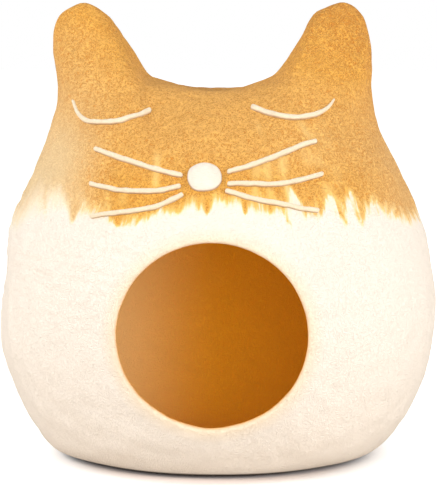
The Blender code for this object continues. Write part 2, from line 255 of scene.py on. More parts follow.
class CaveSettings(bpy.types.PropertyGroup):
    """Sizes and colours of the felt shell."""

    wall: length("Wall", "Thickness of the felt", 0.007)
    lip: length("Lip", "How far the mouth's rounded lip bulges inwards", 0.0032)
    lumps: length("Lumps", "Height of the soft unevenness of the felt", 0.0009)
    ripples: length("Ripples", "Height of the creases where the felt shrank", 0.0008)
    ochre: tint("Ochre", "The wool of the head", (1.0, 0.50, 0.080))
    # painted shade and real tone: the dark ochre shades the valleys between the locks and the ears, and
    # makes the darker patches
    ochre_shade_and_patches: tint("Dark ochre", "The ochre between its locks", (0.62, 0.22, 0.024))
    # painted light: the ochre's lit copy, mixed in where the light falls
    ochre_lit: tint("Pale ochre", "The ochre where it is laid thin", (1.0, 0.745, 0.415))
    lining: tint("Inside", "The wool of the inner face", (0.985, 0.475, 0.018))
    # painted light: the inside's lit copy, on its left side
    lining_lit: tint("Pale inside", "The inner face's left side", (0.99, 0.73, 0.35))
    # painted light: the inside's emitted glow on its left side, in place of light falling into the mouth
    through: tint("Light through", "Light that comes in through the felt", (0.88, 0.60, 0.26))
    thin: tint("Thin ochre", "A few ochre hairs over cream", (0.99, 0.63, 0.175))
    # painted light: the thin ochre's lit copy
    thin_lit: tint("Thin pale ochre", "A few pale ochre hairs over cream", (0.98, 0.78, 0.53))
    cream: tint("Cream", "The wool of the belly", (0.915, 0.828, 0.745))
    lip_tint: tint("Lip tint", "Cream at the mouth's lip, tinted by the inside", (0.94, 0.76, 0.53))
    # painted shadow: the dark band on the felt's base where it meets the floor
    under: tint("Underside", "The dark edge on the floor", (0.030, 0.010, 0.004))
    halo: tint("Halo", "Cream just under the ochre, tinted by it", (0.95, 0.87, 0.64))


class FaceSettings(bpy.types.PropertyGroup):
    """Sizes and colours of the wool that draws the face."""

    strand_width: length("Strand width", "Width of an eye or a whisker", 0.0050)
    strand_rise: length("Strand rise", "How far it stands off the shell", 0.0032)
    strand_sink: length("Strand sink", "How deep its back is felted in", 0.0006)
    nose_rise: length("Nose rise", "How far the nose stands off the shell", 0.0066)
    pad: tint("Nose wool", "The paler cream wool of the nose", (0.90, 0.81, 0.69))
    # painted shade: the dark tint along the strands' edges and round the nose
    edge_shade: tint("Crease", "The strand's edge, where it meets the ochre", (0.42, 0.20, 0.06))
    wool: tint("Wool", "The cream wool of the face", (0.88, 0.735, 0.52))


class StageSettings(bpy.types.PropertyGroup):
    """The floor and the light."""

    floor: tint("Floor", "Colour that the floor casts back", (0.80, 0.73, 0.66))
    sky: number("Sky", "Strength of the light from all round", 0.66)
    left: number("Left lamp", "Power of the soft lamp, left", 28.0)
    right: number("Right lamp", "Power of the soft lamp, right", 26.0)
    front: number("Front lamp", "Power of the lamp beside the camera", 18.0)
    glow: number("Floor glow", "Brightness added to the far floor", 0.45)


def curve_through(points, steps, closed=False):
    """A Catmull-Rom curve through points, with this many steps between each two.

    Between b and c, with a before and d after:
    (2b + (c - a) t + (2a - 5b + 4c - d) t^2 + (3b - a - 3c + d) t^3) / 2.
    """
    points = np.asarray(points, float)
    if closed:
        padded = np.concatenate([points[-1:], points, points[:2]])
    else:
        before = 2 * points[0] - points[1]
        after = 2 * points[-1] - points[-2]
        padded = np.concatenate([[before], points, [after]])
    a, b, c, d = padded[:-3], padded[1:-2], padded[2:-1], padded[3:]
    t = (np.arange(steps) / steps)[:, None, None]
    curve = 0.5 * (2 * b + (c - a) * t + (2 * a - 5 * b + 4 * c - d) * t**2 + (3 * b - a - 3 * c + d) * t**3)
    curve = curve.transpose(1, 0, 2).reshape(-1, points.shape[1])
    return curve if closed else np.concatenate([curve, points[-1:]])


def evenly_spaced(curve, count, closed=False):
    """Count points at equal distances along a curve."""
    if closed:
        curve = np.concatenate([curve, curve[:1]])
    along = np.concatenate([[0], np.cumsum(np.linalg.norm(np.diff(curve, axis=0), axis=1))])
    wanted = np.linspace(0, along[-1], count + closed)[:count]
    return np.stack([np.interp(wanted, along, curve[:, k]) for k in range(curve.shape[1])], axis=1)


def outline():
    """The front outline, as a fine closed loop of (x, height) up its left side first, its bends softened.

    Each point of the loop is a mean of its neighbours, weighted by exp(-(steps apart / softness)^2 / 2).
    """
    loop = evenly_spaced(curve_through(OUTLINE, OUTLINE_STEPS, closed=True), LOOP_STEPS, closed=True)
    reach = np.arange(-3 * LOOP_SOFTNESS, 3 * LOOP_SOFTNESS + 1)
    weights = np.exp(-((reach / LOOP_SOFTNESS) ** 2) / 2)
    return sum(weight * np.roll(loop, step, axis=0) for weight, step in zip(weights / weights.sum(), reach))


def eased(value, low, high):
    """0 below low, 1 above high, and t^2 (3 - 2t) between, with t the share of the way."""
    share = np.clip((value - low) / (high - low), 0, 1)
    return share**2 * (3 - 2 * share)


def cross_depth(height, share):
    """Distance from the middle plane: depth(height) * sqrt(1 - share^fullness(height))."""
    risen = eased(height, *NARROWING)
    depth = BELLY_DEPTH + (EAR_DEPTH - BELLY_DEPTH) * risen
    fullness = BELLY_FULLNESS + (EAR_FULLNESS - BELLY_FULLNESS) * risen
    return depth * np.sqrt(1 - share**fullness)


def pressed_flat(height, x):
    """Heights with all under the floor raised to it: (height + r)^2 / 4r within r of the floor.

    r grows towards the left and right ends, where the felt rolls up a little more from the floor.
    """
    r = BASE_ROUNDING + BASE_LIFT * eased(np.abs(x), 0.03, 0.15)
    soft = (height + r) ** 2 / (4 * r)
    return np.where(height > r, height, np.where(height < -r, 0.0, soft))


def reach_tables():
    """The outline's reach from the hollow's middle at even angles, and the reach of a soft oval.

    The oval keeps only the slow waves of the outline's reach, so it has no ears.
    """
    loop = outline() - (0.0, MIDDLE_HEIGHT)
    turned = np.arctan2(loop[:, 0], loop[:, 1])
    order = np.argsort(turned)
    around = np.arange(OVAL_STEPS) * 2 * np.pi / OVAL_STEPS
    full = np.interp(around, turned[order], np.hypot(*loop.T)[order], period=2 * np.pi)
    slow = np.fft.rfft(full)
    slow[OVAL_WAVES + 1 :] = 0
    return around, full, np.fft.irfft(slow, OVAL_STEPS)


REACH = reach_tables()


def outline_reach(angles):
    """The reach of the outline and of the oval at these angles."""
    around, full, soft = REACH
    return (np.interp(angles, around, reach, period=2 * np.pi) for reach in (full, soft))


def distance_out(share, full, soft):
    """How far from the middle a ring lies: share * (soft + (full - soft) * share^onset)."""
    return share * (soft + (full - soft) * share**EAR_ONSET)


def share_out(distance, full, soft):
    """The share of the way to the outline at a distance from the middle, found by halving steps."""
    share = np.full_like(distance, 0.5)
    for halving in range(2, 26):
        share += np.where(distance_out(share, full, soft) < distance, 1, -1) / 2.0**halving
    return share


def mouth_reach(direction):
    """How far the mouth's edge, an ellipse, is from the hollow's middle in each direction."""
    size = np.array([MOUTH_WIDTH, MOUTH_RISE]) / 2
    start = np.array([-MOUTH_X, MIDDLE_HEIGHT - MOUTH_HEIGHT]) / size
    slope = direction / size
    a, b, c = (slope**2).sum(1), (slope * start).sum(1), (start**2).sum() - 1
    return (np.sqrt(b**2 - a * c) - b) / a


def front_depth(x, height):
    """The y of the shell's smooth front at (x, height), before the shell is centred."""
    across, up = x, height - MIDDLE_HEIGHT
    share = share_out(np.hypot(across, up), *outline_reach(np.arctan2(across, up)))
    return -cross_depth(height, share)


def unit(vectors):
    """The same directions with length 1."""
    return vectors / np.linalg.norm(vectors, axis=-1, keepdims=True)


def soft_noise(points, wavelength, seed, waves=26):
    """Smooth noise, mostly from -1 to 1: a sum of cosines in random directions, near one wavelength."""
    rng = np.random.default_rng(seed)
    direction = unit(rng.normal(size=(waves, points.shape[-1])))
    turns = 2 * np.pi / (wavelength * rng.uniform(0.7, 1.5, waves))
    starts = rng.uniform(0, 2 * np.pi, waves)
    return np.cos(points @ (direction * turns[:, None]).T + starts).sum(-1) / np.sqrt(waves)


def relief(points, settings):
    """How far the felt stands off its smooth form: lumps at three sizes, and long soft creases.

    lumps * (noise at 85 mm + 0.4 noise at 32 mm + 0.22 noise at 14 mm), and ripples that run level on the
    left flank, and upright all over but most of all low on the left. All fades out at the flat base.
    """
    lumps = soft_noise(points, 0.085, 1) + 0.4 * soft_noise(points, 0.032, 2)
    lumps = lumps + 0.22 * soft_noise(points, 0.014, 3)
    level = soft_noise(points * (0.25, 0.25, 1.0), 0.011, 4)
    upright = soft_noise(points * (1.0, 1.0, 0.2), 0.020, 5)
    x, height = points[..., 0], points[..., 2]
    left_flank = eased(-x, 0.04, 0.12) * eased(height, 0.13, 0.18) * (1 - eased(height, 0.26, 0.30))
    low_left = eased(-x, 0.02, 0.10) * eased(height, 0.02, 0.05) * (1 - eased(height, 0.12, 0.20))
    creases = 0.8 * left_flank * level + (0.20 + 0.5 * low_left) * upright
    return (settings.lumps * lumps + settings.ripples * creases) * eased(height, 0.002, 0.030)


class Shell:
    """The felt shell as grids of points, and the places on its front."""

    def __init__(self, settings):
        self.settings = settings
        ends = evenly_spaced(outline(), SPOKES, closed=True) - (0.0, MIDDLE_HEIGHT)
        angles = np.arctan2(ends[:, 0], ends[:, 1])
        self.direction = np.stack([np.sin(angles), np.cos(angles)], axis=1)
        self.full, self.soft = outline_reach(angles)
        self.first = np.arcsin(share_out(mouth_reach(self.direction), self.full, self.soft))
        smooth = self.smooth_face(OUTER_RINGS)
        low, high = smooth.min((0, 1)), smooth.max((0, 1))
        self.shift = np.array([*(-(low + high) / 2)[:2], 0.0])

    def smooth_face(self, rings):
        """Rings from the mouth's edge over the outline to the back, closer together at the front.

        A point at a turn and a spoke lies distance_out(sin turn) from the middle along the spoke, and
        cross_depth(sin turn) in front of the middle plane, or behind it past a quarter turn.
        """
        share = np.arange(rings)[:, None] / rings
        turn = self.first + (np.pi - self.first) * (share + RING_CROWDING * (share**3 - share))
        out = distance_out(np.sin(turn), self.full, self.soft)
        height = MIDDLE_HEIGHT + out * self.direction[:, 1]
        y = np.where(turn < np.pi / 2, -1, 1) * cross_depth(height, np.sin(turn))
        x = out * self.direction[:, 0]
        return np.stack([x, y, pressed_flat(height, x)], axis=-1)

    def face(self, rings):
        """The outer face with its relief, centred, and the directions straight out of it."""
        smooth = self.smooth_face(rings) + self.shift
        out = outward(smooth)
        points = smooth + out * relief(smooth, self.settings)[..., None]
        return points, out

    def pole(self):
        """The middle of the back."""
        point = np.array([0.0, BELLY_DEPTH, MIDDLE_HEIGHT]) + self.shift
        out = np.array([0.0, 1.0, 0.0])
        return point + out * relief(point[None], self.settings)[0], out

    def on_front(self, x, height):
        """The points of the felt's front at (x, height) before centring, and the directions out."""
        step = SLOPE_STEP
        slope_x = (front_depth(x + step, height) - front_depth(x - step, height)) / (2 * step)
        slope_z = (front_depth(x, height + step) - front_depth(x, height - step)) / (2 * step)
        out = unit(np.stack([slope_x, -np.ones_like(slope_x), slope_z], axis=-1))
        points = np.stack([x, front_depth(x, height), height], axis=-1) + self.shift
        return points + out * relief(points, self.settings)[..., None], out


def outward(grid):
    """Unit normals of a grid of rings and spokes: the cross product of its two central differences."""
    along = np.gradient(grid, axis=0)
    around = np.roll(grid, -1, axis=1) - np.roll(grid, 1, axis=1)
    return unit(np.cross(around, along))


def dye_amount(x, height, line, drips, tongues):
    """How much ochre lies at (x, height): a ramp across the line, with drips added and tongues taken out.

    A drip or a tongue is a pointed stroke from the line to its tip. Across it the strength is a bell
    curve, exp(-(distance / width)^2), and its width shrinks with (1 - share of the way to the tip)^0.6.
    """
    ends = np.array(line)
    line_height = np.interp(x, ends[:, 0], ends[:, 1])
    softness = DYE_EDGE + DYE_EDGE_LEFT * eased(-x, 0.140, 0.175)
    amount = np.clip(0.5 + (height - line_height) / (2 * softness), 0, 1)
    for strokes, wanted in ((drips, 1.0), (tongues, 0.0)):
        for place, tip, width, strength, lean in strokes:
            start = np.interp(place, ends[:, 0], ends[:, 1])
            share = (height - start) / (tip - start)
            narrowed = width * np.clip(1 - share, 0.02, 1) ** 0.6
            offset = x - place - lean * np.abs(height - start)
            near = np.exp(-((offset / narrowed) ** 2))
            near *= eased(share, -0.9, 0.0) * (1 - eased(share, 0.60, 1.15))
            near *= strength * (1 - DRIP_FADE * np.clip(share, 0, 1))
            amount += (wanted - amount) * near
    return amount


def stroke_amount(x, height, strokes):
    """How much cream shows through: a bell curve across each stroke, faded at both its ends.

    A stroke's middle lies at its x at the top, and lean * (top - height) further right below that.
    """
    amount = np.zeros_like(x)
    for place, top, bottom, width, strength, lean in strokes:
        fade = eased(height, bottom, bottom + STROKE_FADE) * (1 - eased(height, top - STROKE_FADE, top))
        offset = x - place - lean * (top - height)
        amount += strength * fade * np.exp(-((offset / width) ** 2))
    return np.clip(amount, 0, 1)


def light_and_shade_amount(points):
    """Painted light and shade on the ochre: paler where the light falls, palest low down its left side,
    a little on the brow and low on the right. Below 0 it is painted shade, darker on the ears and ear tips.

    Each eased() here runs between two heights, or two distances to the left or right, in metres.
    """
    x, height = points[..., 0], points[..., 2]
    low = 1 - eased(height, 0.29, 0.40)
    lowest = 1 - eased(height, 0.27, 0.32)
    left = (0.20 + 0.68 * low) * eased(-x, 0.082, 0.160) + 0.25 * lowest * eased(-x, 0.12, 0.18)
    brow = 0.14 * eased(height, 0.29, 0.33) * (1 - eased(height, 0.38, 0.43))
    right = (0.08 * eased(x, 0.04, 0.10) + 0.30 * eased(x, 0.135, 0.20)) * low
    ears = (0.02 + 0.20 * eased(x, 0.06, 0.15)) * eased(height, 0.36, 0.43)
    ear_tips = 0.15 * eased(height, 0.43, 0.465)
    return left + brow + right - ears - ear_tips


def dyed(points):
    """The amount of ochre at each point of the outer face, 0 to 1, and of cream showing through it."""
    x, y, height = points[..., 0], points[..., 1], points[..., 2]
    front = dye_amount(x, height, FRONT_LINE, FRONT_DRIPS, FRONT_TONGUES)
    back = dye_amount(x, height, BACK_LINE, BACK_DRIPS, BACK_TONGUES)
    behind = eased(y, -0.02, 0.03)
    return front + (back - front) * behind, stroke_amount(x, height, FRONT_STROKES) * (1 - behind)


def tube_faces(rings, count):
    """The faces of rings of count points each, closed at both ends by a point of its own after them all.

    They are quads between neighbouring rings, and triangles from each end's point to its ring.
    """
    ring, spoke = np.meshgrid(np.arange(rings - 1), np.arange(count), indexing="ij")
    after = (spoke + 1) % count
    low, high = ring * count, (ring + 1) * count
    quads = np.stack([low + spoke, low + after, high + after, high + spoke], axis=-1).reshape(-1, 4)
    spoke, after, poles = spoke[0], after[0], rings * count
    first_cap = np.stack([np.full(count, poles), after, spoke], axis=-1)
    last = poles - count
    last_cap = np.stack([last + spoke, last + after, np.full(count, poles + 1)], axis=-1)
    return quads.tolist() + first_cap.tolist() + last_cap.tolist()


def linked(name, data):
    """A new object with this data, linked to the scene."""
    thing = bpy.data.objects.new(name, data)
    bpy.context.scene.collection.objects.link(thing)
    return thing


def make_piece(name, points, rings, material, attributes, uv=None):
    """A smooth closed tube of rings at the origin, in its material, riding on the one body.

    attributes holds a value for each point under each label, and uv a place on the map for each point.
    """
    mesh = bpy.data.meshes.new(name)
    mesh.from_pydata(points.tolist(), [], tube_faces(rings, len(points) // rings))
    for label, values in attributes.items():
        mesh.attributes.new(label, "FLOAT", "POINT").data.foreach_set("value", values.astype(np.float32))
    if uv is not None:
        corners = np.empty(len(mesh.loops), dtype=np.int32)
        mesh.loops.foreach_get("vertex_index", corners)
        layer = mesh.uv_layers.new(name="strand")
        layer.data.foreach_set("uv", uv[corners].astype(np.float32).ravel())
    mesh.shade_smooth()
    mesh.materials.append(material)
    mesh.validate()
    piece = linked(name, mesh)
    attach(piece, "root")
    return piece


def feed(tree, node, inputs):
    """Gives each of these inputs of a node its value or its link."""
    for key, value in inputs.items():
        if isinstance(value, bpy.types.NodeSocket):
            tree.links.new(value, node.inputs[key])
        else:
            node.inputs[key].default_value = value


def put(tree, kind, inputs=None, **settings):
    """Adds a shader node, sets it up and feeds its inputs."""
    node = tree.nodes.new("ShaderNode" + kind)
    for key, value in settings.items():
        setattr(node, key, value)
    feed(tree, node, inputs or {})
    return node


def maths(tree, operation, first, second=0.0, clamp=False):
    """A Math node's result."""
    node = put(tree, "Math", {0: first, 1: second}, operation=operation, use_clamp=clamp)
    return node.outputs[0]


def stepped(tree, value, low, high, to_low=0.0, to_high=1.0):
    """A smooth step of a value from low to high."""
    links = {"Value": value, "From Min": low, "From Max": high, "To Min": to_low, "To Max": to_high}
    return put(tree, "MapRange", links, interpolation_type="SMOOTHSTEP").outputs["Result"]


def plus(tree, first, second):
    """The sum of two values."""
    return maths(tree, "ADD", first, second)


def times(tree, first, second):
    """The product of two values."""
    return maths(tree, "MULTIPLY", first, second)


def blended(tree, share, first, second):
    """Two colours mixed by a share; each is a link or three numbers."""
    colours = (c if isinstance(c, bpy.types.NodeSocket) else (*c, 1) for c in (first, second))
    links = dict(zip((0, 6, 7), (share, *colours)))
    return put(tree, "Mix", links, data_type="RGBA").outputs[2]


def stretched(tree, vector, scale):
    """Coordinates stretched by a scale along each axis."""
    return put(tree, "Mapping", {"Vector": vector, "Scale": scale}).outputs[0]


def cloud(tree, vector, scale, detail, roughness, distortion):
    """A noise value from about 0 to 1."""
    links = {"Vector": vector, "Scale": scale, "Detail": detail}
    links |= {"Roughness": roughness, "Distortion": distortion}
    return put(tree, "TexNoise", links).outputs["Fac"]


def new_group(name, inputs, outputs):
    """An empty shader node group with these sockets, as pairs of a name and a kind."""
    tree = bpy.data.node_groups.new(name, "ShaderNodeTree")
    for label, kind in inputs:
        tree.interface.new_socket(label, in_out="INPUT", socket_type="NodeSocket" + kind)
    for label, kind in outputs:
        tree.interface.new_socket(label, in_out="OUTPUT", socket_type="NodeSocket" + kind)
    return tree, tree.nodes.new("NodeGroupInput").outputs, tree.nodes.new("NodeGroupOutput").inputs


def matted_fibres():
    """The group for matted wool: curly locks lying every way, fine hairs, patches, and their height."""
    name = "matted_fibres"
    if name in bpy.data.node_groups:
        return bpy.data.node_groups[name]
    tree, given, result = new_group(
        name,
        [("Vector", "Vector"), ("Fineness", "Float")],
        [("Locks", "Float"), ("Hairs", "Float"), ("Patches", "Float"), ("Height", "Float")],
    )
    sizes = {0: given["Vector"], "Scale": given["Fineness"]}
    vector = put(tree, "VectorMath", sizes, operation="SCALE").outputs[0]
    locks = curls(tree, vector, 330.0, 3.2)
    hairs = curls(tree, vector, 560.0, 3.4)
    patches = cloud(tree, vector, 60.0, 3.0, 0.6, 0.4)
    grain = cloud(tree, vector, 900.0, 1.0, 0.5, 0.6)
    height = plus(tree, times(tree, locks, 0.6), times(tree, hairs, 0.35))
    height = plus(tree, height, times(tree, grain, 0.25))
    for label, value in (("Locks", locks), ("Hairs", hairs), ("Patches", patches), ("Height", height)):
        tree.links.new(value, result[label])
    return tree


def curls(tree, vector, scale, sharpness):
    """Curly lines, where a twisted noise passes its middle value: 1 - |2 noise - 1| * sharpness."""
    twisted = cloud(tree, vector, scale, 0.0, 0.5, 1.0)
    from_middle = maths(tree, "ABSOLUTE", maths(tree, "SUBTRACT", times(tree, twisted, 2.0), 1.0))
    return maths(tree, "SUBTRACT", 1.0, times(tree, from_middle, sharpness), clamp=True)


def fibres(tree, vector, fineness):
    """The outputs of matted wool in a material."""
    node = put(tree, "Group", node_tree=matted_fibres())
    feed(tree, node, {"Vector": vector, "Fineness": fineness})
    return node.outputs


def combed_down(tree, where):
    """Coordinates that stretch a noise along lines that fan out from a point above the head.

    (x, y) * top / (top - z) * 0.5 and 0.09 z, with the top at 0.567 m.
    """
    parts = put(tree, "SeparateXYZ", {0: where}).outputs
    fan = maths(tree, "DIVIDE", 0.5 * FAN_TOP, maths(tree, "SUBTRACT", FAN_TOP, parts["Z"]))
    across, deep = (times(tree, parts[axis], fan) for axis in "XY")
    along = times(tree, parts["Z"], 0.09)
    return put(tree, "CombineXYZ", {0: across, 1: deep, 2: along}).outputs[0]


def own_place(tree):
    """The piece's own coordinates."""
    return put(tree, "TexCoord").outputs["Object"]


def attribute(tree, label):
    """The value of one of the piece's own attributes."""
    return put(tree, "Attribute", attribute_name=label).outputs["Fac"]


def felt_material(name, sheen):
    """A material for wool, with its node tree and its Principled shader."""
    material = bpy.data.materials.new(name)
    material.use_nodes = True
    tree = material.node_tree
    shader = tree.nodes["Principled BSDF"]
    feed(tree, shader, {"Roughness": 0.95, "Specular IOR Level": 0.15})
    feed(tree, shader, {"Sheen Weight": sheen, "Sheen Roughness": 0.6, "Sheen Tint": (*SHEEN_TINT, 1)})
    return material, tree, shader


def shell_material(settings):
    """Ochre and cream felt, by the shell's own amounts of dye, with a feathered edge between them."""
    material, tree, shader = felt_material("dyed_felt", 0.10)
    where = own_place(tree)
    wool = fibres(tree, where, 1.0)
    labels = ("dye", "inside", "rim", "bare", "light_and_shade")
    dye, inside, rim, bare, light_and_shade = (attribute(tree, label) for label in labels)

    # the ochre's share: its edge broken up by combed hairs, less what shows through it
    combed = combed_down(tree, where)
    feather = cloud(tree, combed, 240.0, 2.0, 0.6, 0.5)
    wide_feather = cloud(tree, combed, 80.0, 2.0, 0.5, 0.3)
    loose = plus(tree, feather, times(tree, wide_feather, 1.3))
    between = times(tree, stepped(tree, dye, 0.0, 0.22), stepped(tree, dye, 1.0, 0.70))
    between = times(tree, between, stepped(tree, light_and_shade, 0.2, 0.9, 1.0, 0.35))
    edge = plus(tree, dye, times(tree, maths(tree, "SUBTRACT", loose, 1.17), between))
    streaks = stepped(tree, wide_feather, 0.42, 0.60)
    thinned = times(tree, bare, plus(tree, 0.85, times(tree, streaks, 0.30)))
    ochre_share = maths(tree, "SUBTRACT", stepped(tree, edge, 0.0, 1.0), thinned, clamp=True)
    halo_share = stepped(tree, plus(tree, edge, 0.24), 0.10, 0.80)

    # ochre, with painted shade in the valleys between its locks and on the ears, and darker patches
    # painted light: the ochre and the thin ochre turn to their lit copies where the light falls
    ochre = blended(tree, light_and_shade, settings.ochre, settings.ochre_lit)
    thin = blended(tree, light_and_shade, settings.thin, settings.thin_lit)
    # painted shade on the ears and ear tips, where the share of painted light is below 0
    deep = maths(tree, "MULTIPLY", light_and_shade, -1.0, clamp=True)
    # painted shade: darker in the valleys between the locks, less where the painted light falls
    ridges = maths(tree, "MAXIMUM", wool["Locks"], times(tree, wool["Hairs"], 0.7))
    shaded_valleys = maths(tree, "SUBTRACT", 1.0, ridges)
    valley_shade = stepped(tree, shaded_valleys, 0.30, 1.00, 0.0, 0.86)
    valley_shade = times(tree, valley_shade, stepped(tree, light_and_shade, 0.1, 1.0, 1.0, 0.18))
    ochre = blended(tree, plus(tree, valley_shade, deep), ochre, settings.ochre_shade_and_patches)
    patchy = times(tree, stepped(tree, wool["Patches"], 0.45, 0.75), 0.12)
    ochre = blended(tree, patchy, ochre, settings.ochre_shade_and_patches)
    ochre = blended(tree, times(tree, wool["Locks"], 0.10), ochre, settings.thin)

    # cream, then thin ochre and full ochre over it, the lip, the inside and the painted shadow at the base
    cream = blended(tree, halo_share, settings.cream, settings.halo)
    # painted shade in the cream's valleys between the locks
    cream = blended(tree, times(tree, shaded_valleys, 0.07), cream, CREAM_VALLEY_SHADE)
    colour = blended(tree, stepped(tree, ochre_share, 0.0, 0.45), cream, thin)
    colour = blended(tree, stepped(tree, ochre_share, 0.25, 1.0), colour, ochre)
    colour = blended(tree, times(tree, rim, 0.90), colour, settings.lip_tint)
    # painted shade in the inside's valleys, then painted light: the inside paler on its left side
    lining = blended(tree, times(tree, shaded_valleys, 0.35), settings.lining, LINING_VALLEY_SHADE)
    lining = blended(tree, light_and_shade, lining, settings.lining_lit)
    colour = blended(tree, inside, colour, lining)
    height = put(tree, "SeparateXYZ", {0: where}).outputs["Z"]
    # painted shadow on the outer face's lowest few millimetres
    under = maths(tree, "SUBTRACT", stepped(tree, height, *CONTACT_SHADOW_HEIGHTS, 1.0, 0.0), inside, clamp=True)
    colour = blended(tree, under, colour, settings.under)
    # painted light: the inside glows by emission, most on its left, in place of light falling into the mouth
    glow = blended(tree, inside, BLACK, blended(tree, light_and_shade, LINING_GLOW, settings.through))
    fuzz = times(tree, wool["Height"], stepped(tree, ochre_share, 0.0, 1.0, 0.45, 1.0))
    bump = put(tree, "Bump", {"Height": fuzz, "Strength": 0.8, "Distance": 0.0022}).outputs[0]
    feed(tree, shader, {"Base Color": colour, "Normal": bump})
    feed(tree, shader, {"Emission Color": glow, "Emission Strength": 0.26})
    return material


def strand_material(settings):
    """Cream wool whose hairs run along the strand, by the piece's own map of length and way round."""
    material, tree, shader = felt_material("cream_strand", 0.3)
    along = put(tree, "UVMap", uv_map="strand").outputs["UV"]
    hairs = cloud(tree, stretched(tree, along, (0.18, 1.0, 1.0)), 9.0, 3.0, 0.6, 0.5)
    where = own_place(tree)
    wool = fibres(tree, where, 1.3)
    edge_shade, pad = attribute(tree, "edge_shade"), attribute(tree, "pad")
    colour = blended(tree, pad, settings.wool, settings.pad)
    colour = blended(tree, times(tree, stepped(tree, hairs, 0.46, 0.72), 0.26), colour, STRAND_SHADE)
    colour = blended(tree, times(tree, wool["Hairs"], 0.25), colour, STRAND_LIGHT)
    # painted shade along the strand's edges and round the nose's rim
    colour = blended(tree, times(tree, edge_shade, 0.85), colour, settings.edge_shade)
    height = plus(tree, times(tree, hairs, 0.8), times(tree, wool["Height"], 0.6))
    bump = put(tree, "Bump", {"Height": height, "Strength": 0.6, "Distance": 0.0016}).outputs[0]
    feed(tree, shader, {"Base Color": colour, "Normal": bump})
    return material


def make_shell(settings):
    """The shell: outer face, half-round lip and inner face, one closed skin.

    The lip runs round its middle line by wall / 2 * cos(turn) outwards and lip * sin(turn) inwards.
    """
    shell = Shell(settings)
    outer, out = shell.face(OUTER_RINGS)
    inner, inner_out = shell.face(INNER_RINGS)
    inner = inner - inner_out * settings.wall
    back, back_out = shell.pole()

    edge, edge_out = outer[0], out[0]
    inwards = outer[0] - outer[1]
    inwards = unit(inwards - edge_out * (inwards * edge_out).sum(-1, keepdims=True))
    turn = (np.pi * np.arange(1, LIP_RINGS) / LIP_RINGS)[:, None, None]
    middle = (edge + inner[0]) / 2
    lip = middle + edge_out * settings.wall / 2 * np.cos(turn) + inwards * settings.lip * np.sin(turn)

    rings = np.concatenate([outer[::-1], lip, inner])
    points = np.concatenate([rings.reshape(-1, 3), [back, back - back_out * settings.wall]])

    dye, bare = dyed(points)
    on_lip = np.linspace(0, 1, LIP_RINGS + 1)[1:-1]
    inside = np.concatenate([np.zeros(OUTER_RINGS), eased(on_lip, 0.20, 0.80), np.ones(INNER_RINGS)])
    from_mouth = np.linalg.norm(outer - outer[:1], axis=-1)
    rim = 0.50 * (1 - eased(from_mouth, 0.0, RIM_REACH)) + 0.20 * (1 - eased(from_mouth, 0.0, RIM_LINE))
    rim = np.concatenate([rim[::-1].ravel(), np.full((LIP_RINGS - 1 + INNER_RINGS) * SPOKES, 0.8), [0, 0]])
    # painted light and shade: paler where the light falls, darker on the ears; inside, paler on its left
    # side
    light_and_shade = light_and_shade_amount(points)
    inner_first = (OUTER_RINGS + LIP_RINGS - 1) * SPOKES
    light_and_shade[inner_first:] = eased(-points[inner_first:, 0], -0.01, 0.17) ** 1.5
    inside = np.concatenate([np.repeat(inside, SPOKES), [0, 1]])
    attributes = {"dye": dye, "bare": bare, "light_and_shade": light_and_shade, "rim": rim, "inside": inside}
    material = shell_material(settings)
    piece = make_piece("felt_shell", points, len(rings), material, attributes)
    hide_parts("cave")
    return piece


def strand_outline(places, tips, seed, settings):
    """A strand's wavering middle line, its sideways directions, and its width and rise along it."""
    line = evenly_spaced(curve_through(places, OUTLINE_STEPS), STRAND_STEPS)
    for _ in range(STRAND_SOFTENING):
        line[1:-1] = (line[:-2] + 2 * line[1:-1] + line[2:]) / 4
    total = np.linalg.norm(np.diff(line, axis=0), axis=1).sum()
    along = np.linspace(0, total, STRAND_STEPS)[:, None]
    ahead = unit(np.gradient(line, axis=0))
    sideways = np.stack([-ahead[:, 1], ahead[:, 0]], axis=1)
    line = line + sideways * 0.0001 * soft_noise(along, 0.020, seed)[:, None]
    share = along[:, 0] / total
    narrowing = np.minimum(
        tips[0] + (1 - tips[0]) * eased(share, 0, STRAND_TAPER),
        tips[1] + (1 - tips[1]) * eased(-share, -1, -1 + STRAND_TAPER),
    )
    end = np.minimum(share, 1 - share) * total / (settings.strand_width * 0.42)
    rounded = np.sqrt(np.clip(1 - (1 - np.clip(end, 0, 1)) ** 2, 0.0004, 1))
    width = settings.strand_width * narrowing * rounded * (1 + 0.05 * soft_noise(along, 0.015, seed + 1))
    rise = settings.strand_rise * np.sqrt(narrowing) * rounded
    rise *= 1 + 0.04 * soft_noise(along, 0.012, seed + 2)
    return line, sideways, width, rise, along[:, 0]


def make_strand(name, places, tips, seed, shell, settings, material):
    """A strand of wool laid on the shell along a line: a half-round section that follows the felt."""
    line, sideways, width, rise, along = strand_outline(places, tips, seed, settings)
    turn = np.arange(STRAND_SIDES) * 2 * np.pi / STRAND_SIDES
    place = line[:, None] + sideways[:, None] * (np.cos(turn) * width[:, None] / 2)[..., None]
    on, out = shell.on_front(place[..., 0], place[..., 1])
    lift = np.where(np.sin(turn) > 0, np.sin(turn) * rise[:, None], np.sin(turn) * settings.strand_sink)
    lift = lift * (1 + 0.06 * soft_noise(on, 0.004, seed + 3))
    points = (on + out * lift[..., None]).reshape(-1, 3)
    ends = np.stack([points[:STRAND_SIDES].mean(0), points[-STRAND_SIDES:].mean(0)])
    points = np.concatenate([points, ends])
    length_map = np.repeat(along / settings.strand_width, STRAND_SIDES)
    round_map = np.tile(np.abs(turn / np.pi - 1), STRAND_STEPS)
    # painted shade: darkest along the strand's lower edge, weaker along its upper edge
    facing_down = -(sideways[:, 1, None] * np.cos(turn)).ravel()
    edge_shade = np.append(eased(facing_down, 0.72, 1.0) + 0.35 * eased(-facing_down, 0.85, 1.0), [1, 1])
    uv = np.stack([np.append(length_map, [0, length_map[-1]]), np.append(round_map, [0.5, 0.5])], axis=1)
    return make_piece(name, points, STRAND_STEPS, material, {"edge_shade": edge_shade}, uv)


